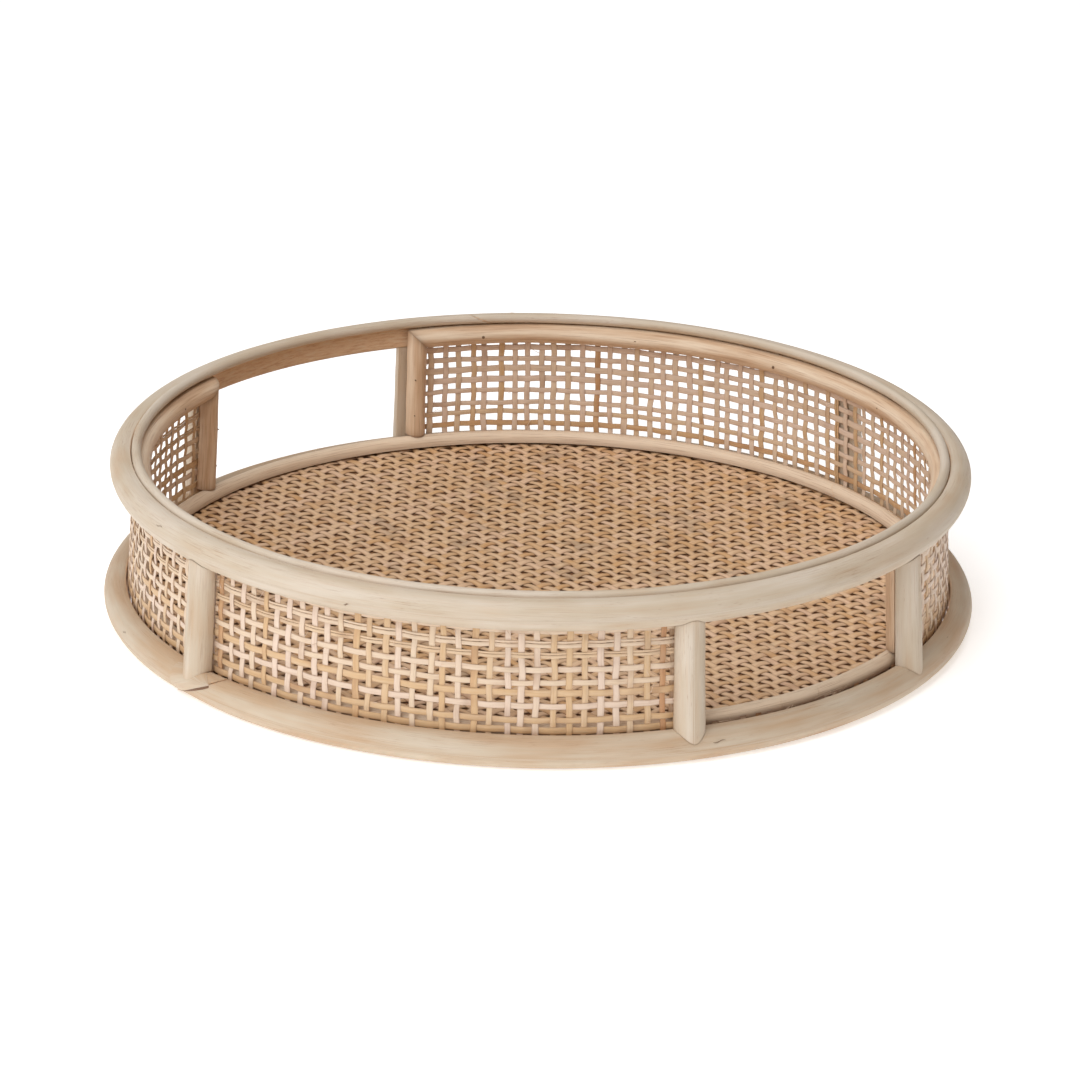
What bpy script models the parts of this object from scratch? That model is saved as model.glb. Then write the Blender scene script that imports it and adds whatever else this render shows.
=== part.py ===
"""Round rattan serving tray: two bent poles, six posts, woven walls and a woven floor on a board.

Metres, +Z up. The handle gaps face +X (the front) and -X (the back), and +Y is the right side.
The tray stands on z = 0.
"""
from math import acos, atan2, cos, pi, radians, sin, sqrt, tau

import bmesh
import bpy
from mathutils import Vector

MM = 0.001
GAP = 0.3 * MM                      # clearance between neighbouring pieces
TURN_STEPS = 72                     # facets round the whole tray
WALL_STEPS = 32                     # facets along one wall panel
SILL_STEPS = 10                     # facets along the short panel under a handle gap
RING_SECTION_STEPS = 12             # facets round the bottom ring's section
RIM_SECTION_STEPS = 11              # facets round the top rim's section
CAP_SECTION_SIDES = 8               # facets round the thin cap rod's section
STRIP_STEPS = 6                     # facets round a half-round strip's section
SHARP_ANGLE = radians(40)           # edges sharper than this stay sharp in the shading

# Bottom ring: a round pole with a planed inner side and a narrow land that the tray rests on
BOTTOM_RING_RHO = 195.8 * MM
BOTTOM_RING_R = 7.3 * MM
BOTTOM_LAND_DEPTH = 0.3 * MM
BOTTOM_RING_FLAT_RHO = 192.7 * MM
BOTTOM_RING_Z = BOTTOM_RING_R - BOTTOM_LAND_DEPTH

# Top rim: the same kind of pole with its inner side planed flat
TOP_RIM_RHO = 192.8 * MM
TOP_RIM_R = 7.2 * MM
TOP_RIM_FLAT_RHO = 190.0 * MM
RIM_ABOVE_RING = 63.0 * MM          # between the two poles' centres
TOP_RIM_Z = BOTTOM_RING_Z + RIM_ABOVE_RING

# Woven wall, between the poles outside and the strips inside; it leans out at its foot
WALL_FOOT_RHO = 192.2 * MM          # its outer face at the bottom ring's height
WALL_HEAD_RHO = 189.4 * MM          # its outer face at the top rim's height
WALL_THICK = 1.4 * MM
WALL_LOW = 2.2 * MM
WALL_ABOVE_RIM_CENTRE = 3.8 * MM
WALL_HIGH = TOP_RIM_Z + WALL_ABOVE_RIM_CENTRE
SILL_HIGH = 14.5 * MM

# Strips inside the wall
FACING_FLAT_RHO = 187.5 * MM
STRIP_HALF_WIDTH = 5.0 * MM
STRIP_DEPTH = 6.8 * MM
FACING_DROP = 1.2 * MM              # its middle lies this much below the rim's centre
FACING_Z = TOP_RIM_Z - FACING_DROP
CAP_R = 2.4 * MM
CAP_RHO = TOP_RIM_FLAT_RHO - GAP - CAP_R
CAP_Z = FACING_Z + STRIP_HALF_WIDTH + GAP + CAP_R

# Floor
BOARD_R = WALL_FOOT_RHO - WALL_THICK - 1.5 * GAP
BOARD_LOW = 5.9 * MM
BOARD_HIGH = 9.9 * MM
BOARD_CHAMFER = 0.5 * MM
MAT_LOW = BOARD_HIGH + GAP
MAT_HIGH = MAT_LOW + 1.8 * MM
MAT_CHAMFER = 0.3 * MM
BEADING_LOW = MAT_HIGH + GAP
BEADING_HALF_WIDTH = 4.1 * MM
BEADING_HEIGHT = 5.3 * MM
BEADING_RHO = BOARD_R - BEADING_HALF_WIDTH

# Posts lean out: their feet straddle the bottom ring, their heads tuck under the top rim
POST_FOOT_RHO = 195.7 * MM
POST_HEAD_RHO = 191.9 * MM
POST_FOOT_R = 7.1 * MM
POST_HEAD_R = 6.6 * MM
POST_CLEAR = 2 * GAP                # between a post's planed inner face and the wall
POST_SIDES = 16
HANDLE_POST_ANGLE = radians(19.3)   # each side of the handle's axis
POST_ANGLES = {
    "post_front_left": -HANDLE_POST_ANGLE,
    "post_front_right": HANDLE_POST_ANGLE,
    "post_side_right": pi / 2,
    "post_back_right": pi - HANDLE_POST_ANGLE,
    "post_back_left": pi + HANDLE_POST_ANGLE,
    "post_side_left": 3 * pi / 2,
}

# Wall panels and strips start a little inside the gap-side edge of each handle post
PANEL_START = radians(18.6)
STRIP_START = radians(18.4)
SILL_END = radians(18.3)

# Joints in the bent pieces: where each one's two ends meet, and how long the sloping cut is
BOTTOM_SCARF_ANGLE = radians(267.5)
BOTTOM_SCARF_LENGTH = 36 * MM
TOP_SCARF_ANGLE = radians(140)
TOP_SCARF_LENGTH = 40 * MM
CAP_JOINT_ANGLE = radians(150)
CAP_JOINT_LENGTH = 12 * MM
BEADING_JOINT_ANGLE = radians(88.4)
BEADING_JOINT_LENGTH = 3 * MM
BUTT_GAP = 0.5 * MM

# Brads
BRAD_SHANK_R = 0.5 * MM
BRAD_HEAD_R = 0.8 * MM
BRAD_HEAD_THICK = 0.4 * MM
BRAD_SIDES = 6
BRAD_TIP_R = 0.2 * MM
BRAD_TIP_LENGTH = 2 * MM
BRAD_SINK = 0.2 * MM                # how far a brad's head is driven into the wood
HEAD_CLEARANCE = 4 * MM             # how far out its clearance hole runs past the head
POST_BRAD_LENGTH = 18 * MM
POST_BRAD_HEIGHTS = (29 * MM, 48 * MM)
RIM_NAIL_RHO = 194.5 * MM
RIM_NAIL_LENGTH = 20 * MM
RING_NAIL_LENGTH = 23 * MM
NAIL_RECESS = 0.8 * MM
FACING_BRAD_LENGTH = 14 * MM
FACING_BRAD_ANGLES = [radians(30 + 24 * i) for i in range(6)]

# Colours: linear base colour and roughness
PALE_POLE = ((0.72, 0.60, 0.43), 0.55)
WARM_STRIP = ((0.60, 0.42, 0.26), 0.55)
CANE = ((0.64, 0.44, 0.27), 0.60)
BOARD = ((0.42, 0.27, 0.15), 0.75)
STEEL = ((0.16, 0.13, 0.11), 0.45)


def clear_scene():
    for thing in list(bpy.data.objects):
        bpy.data.objects.remove(thing, do_unlink=True)


def finish_of(name, look, metallic=0.0):
    """A new Principled material for one piece."""
    colour, roughness = look
    material = bpy.data.materials.new(name + "_finish")
    material.use_nodes = True
    shader = material.node_tree.nodes["Principled BSDF"]
    shader.inputs["Base Color"].default_value = (*colour, 1.0)
    shader.inputs["Roughness"].default_value = roughness
    shader.inputs["Metallic"].default_value = metallic
    return material


def at(rho, angle, z):
    """The point at a radius, an angle and a height."""
    return Vector((rho * cos(angle), rho * sin(angle), z))


def loft(name, stations, look, closed=False, smooth=True, metallic=0.0):
    """One closed body through a list of outlines with equal numbers of points."""
    mesh = bpy.data.meshes.new(name)
    bm = bmesh.new()
    rows = [[bm.verts.new(point) for point in station] for station in stations]
    pairs = list(zip(rows, rows[1:]))
    if closed:
        pairs.append((rows[-1], rows[0]))
    for row, next_row in pairs:
        for i in range(len(row)):
            j = (i + 1) % len(row)
            bm.faces.new((row[i], row[j], next_row[j], next_row[i]))
    if not closed:
        bm.faces.new(rows[0])
        bm.faces.new(rows[-1])
    bmesh.ops.recalc_face_normals(bm, faces=bm.faces)
    bm.to_mesh(mesh)
    bm.free()
    piece = bpy.data.objects.new(name, mesh)
    bpy.context.collection.objects.link(piece)
    mesh.materials.append(finish_of(name, look, metallic))
    if smooth:
        mesh.shade_smooth()
        mesh.set_sharp_from_angle(angle=SHARP_ANGLE)
    return piece


def make_cutter(piece):
    """Leave a piece out of the build and the render: it only cuts."""
    piece.hide_render = True
    piece.display_type = "WIRE"
    return piece


def cut(piece, cutter):
    modifier = piece.modifiers.new("cut_" + cutter.name, "BOOLEAN")
    modifier.operation = "DIFFERENCE"
    modifier.solver = "EXACT"
    modifier.object = cutter


def arc_outline(rho, z, half_width, height, start, end, steps):
    """Points (radius, height) along an ellipse from one angle to another."""
    points = []
    for i in range(steps + 1):
        a = start + (end - start) * i / steps
        points.append((rho + half_width * cos(a), z + height * sin(a)))
    return points


def wall_rho(z):
    """The outer radius of the leaning wall at a height."""
    share = (z - BOTTOM_RING_Z) / RIM_ABOVE_RING
    return WALL_FOOT_RHO + (WALL_HEAD_RHO - WALL_FOOT_RHO) * share


def turned(name, outline, look, start=0.0, sweep=tau):
    """An outline carried round the Z axis, all the way or part of it."""
    whole = abs(sweep - tau) < 1e-9
    steps = max(2, round(TURN_STEPS * sweep / tau))
    count = steps if whole else steps + 1
    stations = []
    for i in range(count):
        angle = start + sweep * i / steps
        stations.append([at(rho, angle, z) for rho, z in outline])
    return loft(name, stations, look, closed=whole)


def cross_section(outline):
    """The middle, radial width and height of an outline."""
    rhos = [rho for rho, _ in outline]
    heights = [z for _, z in outline]
    centre = ((min(rhos) + max(rhos)) / 2, (min(heights) + max(heights)) / 2)
    return centre, max(rhos) - min(rhos), max(heights) - min(heights)


def joint_cutter(name, outline, angle, length):
    """A thin slab across a bent pole; its slope makes a scarf joint of the given length."""
    (rho, z), width, height = cross_section(outline)
    slope = atan2(height, length)
    along = Vector((-sin(angle), cos(angle), 0)) * cos(slope) + Vector((0, 0, sin(slope)))
    radial = at(1.0, angle, 0.0)
    normal = along.cross(radial)
    reach = height / sin(slope) * 0.6
    stations = []
    for thick in (-BUTT_GAP / 2, BUTT_GAP / 2):
        corners = ((-reach, -width), (reach, -width), (reach, width), (-reach, width))
        stations.append([at(rho, angle, z) + along * a + radial * b + normal * thick for a, b in corners])
    return make_cutter(loft(name, stations, STEEL, smooth=False))


def open_ring(name, outline, look, joint_angle, scarf_length):
    """A bent pole carried all the way round, with its two ends meeting in a sloping cut."""
    piece = turned(name, outline, look)
    cut(piece, joint_cutter("cutter_joint_" + name, outline, joint_angle, scarf_length))
    return piece


def bottom_ring_outline(grow=0.0):
    radius = BOTTOM_RING_R + grow
    land = -pi / 2 + acos(min(1.0, (BOTTOM_RING_Z + grow) / radius))
    flat = acos((BOTTOM_RING_RHO - BOTTOM_RING_FLAT_RHO + grow) / radius)
    main = arc_outline(BOTTOM_RING_RHO, BOTTOM_RING_Z, radius, radius, land, pi - flat, RING_SECTION_STEPS)
    return main + arc_outline(BOTTOM_RING_RHO, BOTTOM_RING_Z, radius, radius, pi + flat, pi - land, 1)


def top_rim_outline(grow=0.0):
    radius = TOP_RIM_R + grow
    half = pi - acos((TOP_RIM_RHO - TOP_RIM_FLAT_RHO + grow) / radius)
    return arc_outline(TOP_RIM_RHO, TOP_RIM_Z, radius, radius, -half, half, RIM_SECTION_STEPS)


def half_round(across, depth_from):
    """A half-round strip's section: (offset across it, radius) from one edge to the other."""
    points = []
    for i in range(STRIP_STEPS + 1):
        a = -pi / 2 + pi * i / STRIP_STEPS
        points.append((across * sin(a), depth_from - STRIP_DEPTH * cos(a)))
    return points


def facing_arc(name, turn):
    """The half-round strip under the cap along one wall, with mitred ends."""
    start = turn + STRIP_START
    end = turn + pi - STRIP_START
    section = half_round(STRIP_HALF_WIDTH, FACING_FLAT_RHO)
    stations = []
    for i in range(WALL_STEPS + 1):
        share = i / WALL_STEPS
        station = []
        for across, rho in section:
            mitre = (STRIP_HALF_WIDTH - across + GAP) / FACING_FLAT_RHO
            first, last = start + mitre, end - mitre
            station.append(at(rho, first + (last - first) * share, FACING_Z + across))
        stations.append(station)
    return loft(name, stations, WARM_STRIP)


def upright_strip(name, edge_angle, side):
    """A half-round strip beside a handle gap; side is +1 when its wall lies at larger angles."""
    section = half_round(STRIP_HALF_WIDTH, 0.0)
    foot = BEADING_LOW + BEADING_HEIGHT + GAP
    high = FACING_Z + STRIP_HALF_WIDTH
    stations = []
    for share in (0.0, 0.5, 1.0):
        station = []
        for across, depth in section:
            from_edge = STRIP_HALF_WIDTH + across
            head = high - from_edge - GAP
            angle = edge_angle + side * from_edge / FACING_FLAT_RHO
            z = foot + (head - foot) * share
            station.append(at(wall_rho(z) - WALL_THICK - GAP + depth, angle, z))
        stations.append(station)
    return loft(name, stations, WARM_STRIP)


def band(name, start, end, low, high, steps):
    """A thin curved panel of the woven wall."""
    foot, head = wall_rho(low), wall_rho(high)
    outline = [(foot - WALL_THICK, low), (foot, low), (head, high), (head - WALL_THICK, high)]
    stations = []
    for i in range(steps + 1):
        angle = start + (end - start) * i / steps
        stations.append([at(rho, angle, z) for rho, z in outline])
    return loft(name, stations, CANE)


def disc(name, radius, low, high, chamfer, look):
    """A flat round sheet with chamfered edges."""
    inner = radius - chamfer
    levels = ((inner, low), (radius, low + chamfer), (radius, high - chamfer), (inner, high))
    stations = []
    for rho, z in levels:
        stations.append([at(rho, tau * i / TURN_STEPS, z) for i in range(TURN_STEPS)])
    return loft(name, stations, look)


def circle(centre, axis, radius, sides):
    """Points round a centre, square to an axis."""
    side = axis.orthogonal().normalized()
    up = axis.cross(side)
    points = []
    for i in range(sides):
        a = tau * i / sides
        points.append(centre + side * radius * cos(a) + up * radius * sin(a))
    return points


def post(name, angle, cutters):
    """One leaning round post, saddled on the bottom ring, under the top rim and flat to the wall."""
    foot = at(POST_FOOT_RHO, angle, BOTTOM_RING_Z)
    head = at(POST_HEAD_RHO, angle, TOP_RIM_Z)
    stations = []
    for centre, radius in ((foot, POST_FOOT_R), (head, POST_HEAD_R)):
        station = []
        for i in range(POST_SIDES):
            a = angle + tau * (i + 0.5) / POST_SIDES
            station.append(centre + Vector((radius * cos(a), radius * sin(a), 0)))
        stations.append(station)
    piece = loft(name, stations, PALE_POLE)
    for cutter in cutters:
        cut(piece, cutter)
    return piece


def brad_stations(head, direction, length, grow, head_clear):
    """Outlines of a small headed nail, or of its clearance hole when grow is set."""
    shank = BRAD_SHANK_R + grow
    cap = BRAD_HEAD_R + grow
    under = BRAD_HEAD_THICK + grow
    point = length + grow
    tip = BRAD_TIP_R + grow
    taper = length - BRAD_TIP_LENGTH
    levels = ((-head_clear, cap), (under, cap), (under, shank), (taper, shank), (point, tip))
    return [circle(head + direction * depth, direction, radius, BRAD_SIDES) for depth, radius in levels]


def brad(name, head, direction, length, holes):
    """A brad and the clearance hole that its neighbours get."""
    loft(name, brad_stations(head, direction, length, 0.0, 0.0), STEEL, metallic=1.0)
    holes.append(brad_stations(head, direction, length, GAP, HEAD_CLEARANCE))


def joined_cutter(name, hole_list):
    """All the clearance holes as one cutting object."""
    pieces = []
    for i, stations in enumerate(hole_list):
        pieces.append(loft(name + str(i), stations, STEEL, smooth=False))
    bm = bmesh.new()
    for piece in pieces:
        bm.from_mesh(piece.data)
        bpy.data.objects.remove(piece, do_unlink=True)
    mesh = bpy.data.meshes.new(name)
    bm.to_mesh(mesh)
    bm.free()
    cutter = bpy.data.objects.new(name, mesh)
    bpy.context.collection.objects.link(cutter)
    return make_cutter(cutter)


def post_surface_rho(z):
    """How far out a post's outer face stands at a height."""
    share = (z - BOTTOM_RING_Z) / (TOP_RIM_Z - BOTTOM_RING_Z)
    centre = POST_FOOT_RHO + (POST_HEAD_RHO - POST_FOOT_RHO) * share
    radius = POST_FOOT_R + (POST_HEAD_R - POST_FOOT_R) * share
    return centre + radius


def post_cutters():
    """What every post is cut with: both rings, grown by the gap, and the plane of the wall."""
    rim = turned("cutter_top_rim", top_rim_outline(GAP), PALE_POLE)
    ring = turned("cutter_bottom_ring", bottom_ring_outline(GAP), PALE_POLE)
    low, high = -POST_FOOT_R, TOP_RIM_Z + 2 * TOP_RIM_R
    foot, head = wall_rho(low) + POST_CLEAR, wall_rho(high) + POST_CLEAR
    inner = WALL_HEAD_RHO - 2 * POST_FOOT_R
    wall = turned("cutter_wall", [(inner, low), (foot, low), (head, high), (inner, high)], PALE_POLE)
    return [make_cutter(rim), make_cutter(ring), make_cutter(wall)]


def build_brads():
    """Brads through the handle posts, through the rings into each post, and through the facings."""
    holes = []
    rim_top = TOP_RIM_Z + sqrt(TOP_RIM_R ** 2 - (RIM_NAIL_RHO - TOP_RIM_RHO) ** 2)
    for name, angle in POST_ANGLES.items():
        tag = name.replace("post_", "")
        inward = -at(1.0, angle, 0.0)
        rim_head = at(RIM_NAIL_RHO, angle, rim_top - NAIL_RECESS)
        brad("nail_top_" + tag, rim_head, Vector((0, 0, -1)), RIM_NAIL_LENGTH, holes)
        ring_head = at(BOTTOM_RING_RHO, angle, NAIL_RECESS)
        brad("nail_bottom_" + tag, ring_head, Vector((0, 0, 1)), RING_NAIL_LENGTH, holes)
        if "side" in name:
            continue
        for level, z in enumerate(POST_BRAD_HEIGHTS):
            head = at(post_surface_rho(z) - BRAD_SINK, angle, z)
            brad("brad_%s_%d" % (tag, level + 1), head, inward, POST_BRAD_LENGTH, holes)
    for wall, turn in (("right", 0.0), ("left", pi)):
        for i, angle in enumerate(FACING_BRAD_ANGLES):
            outward = at(1.0, angle + turn, 0.0)
            head = at(FACING_FLAT_RHO - STRIP_DEPTH + BRAD_SINK, angle + turn, FACING_Z)
            brad("brad_facing_%s_%d" % (wall, i + 1), head, outward, FACING_BRAD_LENGTH, holes)
    return joined_cutter("cutter_brads", holes)


def build():
    clear_scene()
    nailed = []
    nailed.append(open_ring("bottom_ring", bottom_ring_outline(), PALE_POLE,
                            BOTTOM_SCARF_ANGLE, BOTTOM_SCARF_LENGTH))
    nailed.append(open_ring("top_rim", top_rim_outline(), PALE_POLE, TOP_SCARF_ANGLE, TOP_SCARF_LENGTH))
    cutters = post_cutters()
    for name, angle in POST_ANGLES.items():
        nailed.append(post(name, angle, cutters))

    for wall, first_end, last_end, turn in (("right", "front", "back", 0.0), ("left", "back", "front", pi)):
        start, end = turn + PANEL_START, turn + pi - PANEL_START
        nailed.append(band("wall_" + wall, start, end, WALL_LOW, WALL_HIGH, WALL_STEPS))
        nailed.append(facing_arc("facing_" + wall, turn))
        nailed.append(upright_strip("upright_%s_%s" % (wall, first_end), turn + STRIP_START, 1))
        nailed.append(upright_strip("upright_%s_%s" % (wall, last_end), turn + pi - STRIP_START, -1))
    for end, turn in (("front", 0.0), ("back", pi)):
        band("wall_sill_" + end, turn - SILL_END, turn + SILL_END, WALL_LOW, SILL_HIGH, SILL_STEPS)

    last_side = CAP_SECTION_SIDES - 1
    cap_end = tau * last_side / CAP_SECTION_SIDES
    cap_outline = arc_outline(CAP_RHO, CAP_Z, CAP_R, CAP_R, 0, cap_end, last_side)
    open_ring("rim_cap", cap_outline, PALE_POLE, CAP_JOINT_ANGLE, CAP_JOINT_LENGTH)
    beading_outline = arc_outline(BEADING_RHO, BEADING_LOW, BEADING_HALF_WIDTH, BEADING_HEIGHT, 0, pi,
                                  STRIP_STEPS)
    open_ring("floor_beading", beading_outline, WARM_STRIP, BEADING_JOINT_ANGLE, BEADING_JOINT_LENGTH)
    disc("base_board", BOARD_R, BOARD_LOW, BOARD_HIGH, BOARD_CHAMFER, BOARD)
    disc("floor_mat", BOARD_R, MAT_LOW, MAT_HIGH, MAT_CHAMFER, CANE)

    holes = build_brads()
    for piece in nailed:
        cut(piece, holes)


build()
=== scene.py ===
"""The looks of a round rattan serving tray: bent poles, half-round strips, woven cane and a board.

Angles run round the tray's axis from +X, where the front handle gap is. Lengths are in metres, and rho
is a distance from the axis. Every point of a piece carries two attributes: grain holds (along the fibres,
round the section, seed), and tone holds (tint, raw wood or a cane's edge, dark mark).
"""
import zlib
from math import cos, pi, radians, sin, tau

import bpy
import numpy as np
from mathutils import Matrix, Vector


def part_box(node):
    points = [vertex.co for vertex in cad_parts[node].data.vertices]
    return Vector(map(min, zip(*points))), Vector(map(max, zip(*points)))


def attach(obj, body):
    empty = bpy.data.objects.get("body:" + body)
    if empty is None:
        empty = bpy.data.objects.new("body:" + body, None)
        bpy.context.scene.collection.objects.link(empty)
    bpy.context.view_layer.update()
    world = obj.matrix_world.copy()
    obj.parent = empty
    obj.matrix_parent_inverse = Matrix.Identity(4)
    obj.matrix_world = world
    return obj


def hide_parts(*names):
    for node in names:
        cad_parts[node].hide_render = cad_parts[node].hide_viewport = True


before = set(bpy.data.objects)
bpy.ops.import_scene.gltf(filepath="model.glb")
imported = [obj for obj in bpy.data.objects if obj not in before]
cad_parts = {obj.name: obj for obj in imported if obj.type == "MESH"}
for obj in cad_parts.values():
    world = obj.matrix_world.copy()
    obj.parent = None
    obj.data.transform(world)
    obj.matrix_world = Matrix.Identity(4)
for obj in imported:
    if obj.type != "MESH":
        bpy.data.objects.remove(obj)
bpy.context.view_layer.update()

MM = 0.001
UP = np.array([0.0, 0.0, 1.0])
SHARP_ANGLE = radians(38)
DRIFT_PEAK = 1.8

# Camera: where it stands, how long its lens is, and how it is turned from the bottom ring's centre
CAMERA_ANGLE = radians(-39.4)
CAMERA_ELEVATION = radians(21.54)
CAMERA_ROLL = radians(-1.09)
CAMERA_DISTANCE = 2.5
CAMERA_LENS = 177.7
CAMERA_SENSOR = 36.0
CAMERA_PAN = radians(0.0097)
CAMERA_TILT = radians(-0.5018)

# Places read from the frame
RING_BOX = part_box("bottom_ring")
RIM_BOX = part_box("top_rim")
CAP_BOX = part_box("rim_cap")
WALL_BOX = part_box("wall_right")
SILL_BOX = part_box("wall_sill_front")
FACING_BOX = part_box("facing_right")
UPRIGHT_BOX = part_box("upright_right_front")
BEADING_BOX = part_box("floor_beading")
MAT_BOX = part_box("floor_mat")

# Poles
RING_R = 7.3 * MM
RING_CENTRE = (RING_BOX[1].x - RING_R, RING_BOX[1].z - RING_R)
RING_FLAT_RHO = RING_CENTRE[0] - 3.1 * MM
RIM_R = 7.2 * MM
RIM_CENTRE = (RIM_BOX[1].x - RIM_R, RIM_BOX[1].z - RIM_R)
RIM_FLAT_RHO = RIM_CENTRE[0] - 2.8 * MM
CAP_R = 2.4 * MM
CAP_CENTRE = (CAP_BOX[1].x - CAP_R, CAP_BOX[1].z - CAP_R)
RING_TINT = 0.22
RIM_TINT = 0.58
CAP_TINT = 0.66
POST_TINT = 0.5
POLE_SECTION = 30
CAP_SECTION = 16
POLE_STATIONS = 420
JOINT_STATIONS = 46

# Half-round strips
STRIP_FLAT_RHO = 187.5 * MM
STRIP_DEPTH = 6.8 * MM
STRIP_HALF_WIDTH = 5.0 * MM
FACING_Z = FACING_BOX[1].z - STRIP_HALF_WIDTH
STRIP_START = radians(18.4)
STRIP_SECTION = 13
MITRE_GAP = 0.25 * MM
FACING_TINT = 0.60
UPRIGHT_TINT = 0.55
BEADING_TINT = 0.96
BEADING_HALF_WIDTH = 4.1 * MM
BEADING_HEIGHT = BEADING_BOX[1].z - BEADING_BOX[0].z
BEADING_CENTRE = (BEADING_BOX[1].x - BEADING_HALF_WIDTH, BEADING_BOX[0].z)

# The walls lean in: their outer radius at the bottom ring's centre and at the top rim's
WALL_FOOT_RHO = 192.2 * MM
WALL_HEAD_RHO = 189.4 * MM
WALL_THICK = 1.4 * MM
WALL_RHO = (WALL_FOOT_RHO + WALL_HEAD_RHO - WALL_THICK) / 2
UPRIGHT_CLEAR = 0.3 * MM

# Posts
POST_FOOT_RHO = 195.7 * MM
POST_HEAD_RHO = 191.9 * MM
POST_FOOT_R = 7.1 * MM
POST_HEAD_R = 6.6 * MM
POST_CLEAR = 0.6 * MM
POST_FOOT_LIFT = 0.4 * MM
POST_SUNK_IN_RIM = 0.1 * MM
POST_END_SCALES = (0.12, 0.45, 0.75, 0.93, 0.985)
POST_LAST_SHARE = 0.008
HANDLE_POST_ANGLE = radians(19.3)
POST_ANGLES = {
    "post_front_left": -HANDLE_POST_ANGLE,
    "post_front_right": HANDLE_POST_ANGLE,
    "post_side_right": pi / 2,
    "post_back_right": pi - HANDLE_POST_ANGLE,
    "post_back_left": pi + HANDLE_POST_ANGLE,
    "post_side_left": 3 * pi / 2,
}
POST_SECTION = 36
POST_STATIONS = 24
POST_TRIALS = 500

# Joints in the bent pieces: their middles and half their lengths
RING_JOINT, RING_HALF_JOINT = radians(270.9), radians(4.7)
RIM_JOINT, RIM_HALF_JOINT = radians(140), radians(5.6)
CAP_JOINT, CAP_HALF_JOINT = radians(150), radians(1.8)
BEADING_JOINT, BEADING_HALF_JOINT = radians(88.4), radians(1.7)
RING_JOINT_GAP = 0.12 * MM
RIM_JOINT_GAP = 0.03 * MM
CAP_JOINT_GAP = 0.1 * MM
BEADING_JOINT_GAP = 0.15 * MM

# The torn tip of the ring's joint: where it starts and stops in half joints, and its skin
TIP_STATIONS = 34
TIP_SECTION = 12
TIP_START, TIP_STOP = -0.95, 0.72
TIP_OVERHANG = radians(5)
TIP_NARROWS = 0.55
TIP_TOP = radians(120)
TIP_POINT = radians(2)
TIP_PROUD = 1.1 * MM
TIP_SUNK = 0.945
TIP_THICK = 0.5 * MM
TIP_INSIDE_RING = 0.05 * MM
# How much paler the tip grows towards its end: partly its torn wood, partly a painted highlight
TIP_PALER = 0.7
TIP_FADE = 7
# A painted shadow under the torn tip: where its dark strip lies, how thin and how dark it is
SEAM_BELOW = radians(4)
SEAM_LIFT = 0.3 * MM
SEAM_HALF_THICK = 0.2 * MM
SEAM_PAINTED_SHADOW = 0.85

# Short splits in the poles: pole centre and radius, angle and section angle (degrees), length, width
NICK_SINK = 0.97
NICK_HALF_THICK = 0.08 * MM
NICK_MARK = 0.75
NICKS = (
    (RIM_CENTRE, RIM_R * NICK_SINK, 296, -12, 2.2 * MM, 0.5 * MM),
    (RIM_CENTRE, RIM_R * NICK_SINK, 338, -30, 1.6 * MM, 0.4 * MM),
    (RIM_CENTRE, RIM_R * NICK_SINK, 262, 30, 5.0 * MM, 0.3 * MM),
    (RIM_CENTRE, RIM_R * NICK_SINK, 118, 70, 3.0 * MM, 0.4 * MM),
    (RIM_CENTRE, RIM_R * NICK_SINK, 60, 55, 4.0 * MM, 0.3 * MM),
    (RING_CENTRE, RING_R * NICK_SINK, 31, 62, 7.0 * MM, 0.5 * MM),
    (RING_CENTRE, RING_R * NICK_SINK, 344, 20, 6.0 * MM, 0.3 * MM),
    (RING_CENTRE, RING_R * NICK_SINK, 290, 35, 2.0 * MM, 0.4 * MM),
    (RING_CENTRE, RING_R * NICK_SINK, 252, 25, 3.0 * MM, 0.3 * MM),
)

# Loose fibres: range of angles (degrees), range of heights (mm), side of the wall (+1 outside), count
UPRIGHT_EDGES = (21.5, 157.0, 201.5, 337.0)
POST_EDGES = (86.6, 92.2, 266.6, 272.2, 24.0, 334.8, 155.0, 204.0)
HAIR_PATCHES = [(24, 156, 15, 62, 1, 26), (204, 336, 15, 62, 1, 26), (24, 156, 58, 64, 1, 30),
                (204, 336, 58, 64, 1, 34), (24, 156, 20, 64, -1, 26), (204, 336, 20, 64, -1, 16)]
HAIR_PATCHES += [(edge, edge + 1.5, 18, 66, -1, 16) for edge in UPRIGHT_EDGES]
HAIR_PATCHES += [(edge, edge + 1.2, 16, 60, 1, 7) for edge in POST_EDGES]
HAIR_PATCHES += [(sill - 17, sill + 17, 13.0, 14.5, side, 12) for sill in (0, 180) for side in (1, -1)]
HAIR_OFF_WALL = 0.1 * MM
HAIR_HALF_THICK = 0.07 * MM

# Woven cane: its wave, thickness and share of split canes in the walls, and how finely it is made
WAVE = 0.28 * MM
CANE_HALF_THICK = 0.26 * MM
STATIONS_PER_CROSSING = 4
SPLIT_SHARE = 0.05

# Upright canes of the walls; half widths and fray are in mm
WALL_START = radians(18.9)
COLUMN_PITCH = 6.87 * MM
COLUMN_JITTER = 0.42 * MM
COLUMN_LEAN = 0.5 * MM
COLUMN_DRIFT = 0.40 * MM
COLUMN_FRAY = 1.0
COLUMN_HALF_WIDTHS = (1.25, 1.55)

# Level canes of the walls; half widths are in mm
ROW_PITCH = 5.85 * MM
ROW_JITTER = 0.28 * MM
ROW_SLOPE = 0.6 * MM
ROW_DRIFT = 0.34 * MM
ROW_END_CLEAR = 0.2 * MM
ROW_HALF_WIDTHS = (1.20, 1.70)
LOWEST_ROW_Z = 14.3 * MM
LOWEST_ROW_TINT = 0.38
TOP_ROW_CLEAR = 1.5 * MM

# The weave left under the handle gaps; fray is in mm
SILL_STATIONS = 12
SILL_HALF_WIDTH = 1.4 * MM
SILL_FRAY = 2.6
SILL_ROW_HEIGHT = 8.5 * MM
SILL_ROW_HALF_WIDTH = 1.5 * MM
SILL_ROW_TINT = 0.3

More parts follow.
